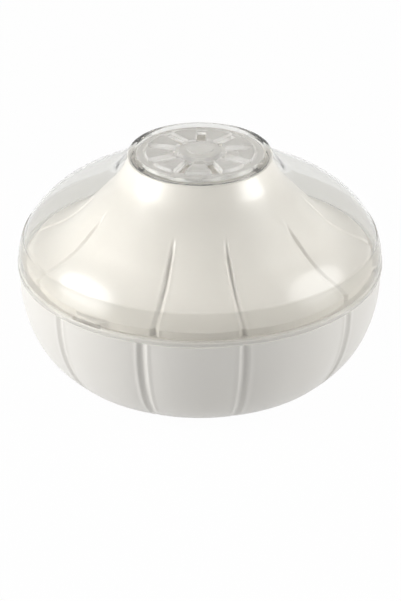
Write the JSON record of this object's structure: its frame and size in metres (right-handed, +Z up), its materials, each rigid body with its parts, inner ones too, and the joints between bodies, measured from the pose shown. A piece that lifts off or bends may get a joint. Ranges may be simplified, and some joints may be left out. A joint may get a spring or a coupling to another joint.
{
  "type": "garlic keeper",
  "caption": "Lobed garlic keeper: pearl bowl with drain grid, lobed inner cover, clear bayonet lid and a rotating vent dial.",
  "frame": {"origin": "middle of the foot ring's underside, on the keeper's turning axis", "axes": "+Z up, -Y towards the viewer of the picture, +X to the viewer's right"},
  "size_m": [0.2196, 0.22, 0.1417],
  "materials": {
    "pearl_plastic": "pearl polypropylene, satin gloss",
    "white_plastic": "plain moulded polypropylene",
    "clear_plastic": "clear polished polystyrene-like plastic"
  },
  "bodies": {
    "bowl": {"bowl": "pearl_plastic"},
    "grid": {"drain_grid": "white_plastic"},
    "cover": {"inner_cover": "pearl_plastic"},
    "lid": {"clear_lid": "clear_plastic", "dial_pivot": "clear_plastic", "pivot_clip": "white_plastic"},
    "dial": {"vent_dial": "clear_plastic"}
  },
  "joints": [
    {"name": "lid_lift", "type": "slide", "parent": "bowl", "child": "cover", "axis": [0, 0, 1], "range_m": [0, 0.16]},
    {"name": "grid_lift", "type": "slide", "parent": "bowl", "child": "grid", "axis": [0, 0, 1], "range_m": [0, 0.08]},
    {"name": "lid_twist", "type": "hinge", "parent": "cover", "child": "lid", "pos_m": [0, 0, 0.068], "axis": [0, 0, 1], "range_deg": [0, 14]},
    {"name": "dial_turn", "type": "hinge", "parent": "lid", "child": "dial", "pos_m": [0, 0, 0.1365], "axis": [0, 0, 1], "range_deg": [0, 20]}
  ],
  "couplings": [
    {"joint": "grid_lift", "follows": "lid_lift", "ratio": 0.5}
  ]
}
